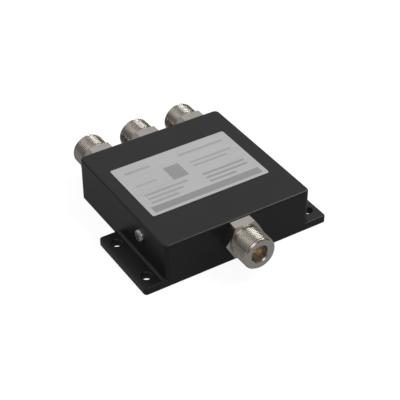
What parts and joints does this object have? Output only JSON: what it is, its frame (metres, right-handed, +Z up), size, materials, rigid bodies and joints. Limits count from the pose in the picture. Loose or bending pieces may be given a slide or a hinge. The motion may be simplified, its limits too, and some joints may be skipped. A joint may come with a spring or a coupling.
{
  "type": "rf power splitter",
  "caption": "Flat black cast box that splits a radio signal, with mounting ears, a pale top label, a threaded coaxial input in front and a row of outputs behind.",
  "frame": {"origin": "centre of the four ear holes on the mounting plane", "axes": "+X across the ears to the right seen from the input, +Y from the input socket to the output sockets, +Z up from the mounting plane"},
  "size_m": [0.095, 0.1085, 0.0223],
  "materials": {
    "black_paint": "semi-gloss black paint with a fine texture",
    "gasket_rubber": "matte",
    "black_steel": "black oxide",
    "label_foil": "satin silver foil",
    "board_laminate": "matte green laminate",
    "copper": "plain copper",
    "resistor_ceramic": "matte",
    "zinc_steel": "zinc plated",
    "nickel": "bright nickel plating on brass",
    "insulator_white": "matte white",
    "gold": "gold plating"
  },
  "bodies": {
    "root": {"housing": "black_paint", "bottom_cover": "black_paint", "cover_gasket": "gasket_rubber", "cover_screws": "black_steel", "label": "label_foil", "circuit_board": "board_laminate", "copper_tracks": "copper", "isolation_resistors": "resistor_ceramic", "board_screws": "zinc_steel", "input_shell": "nickel", "input_seal": "gasket_rubber", "input_insulator": "insulator_white", "input_contact": "gold", "output_left_shell": "nickel", "output_left_seal": "gasket_rubber", "output_left_insulator": "insulator_white", "output_left_contact": "gold", "output_middle_shell": "nickel", "output_middle_seal": "gasket_rubber", "output_middle_insulator": "insulator_white", "output_middle_contact": "gold", "output_right_shell": "nickel", "output_right_seal": "gasket_rubber", "output_right_insulator": "insulator_white", "output_right_contact": "gold"}
  },
  "joints": []
}
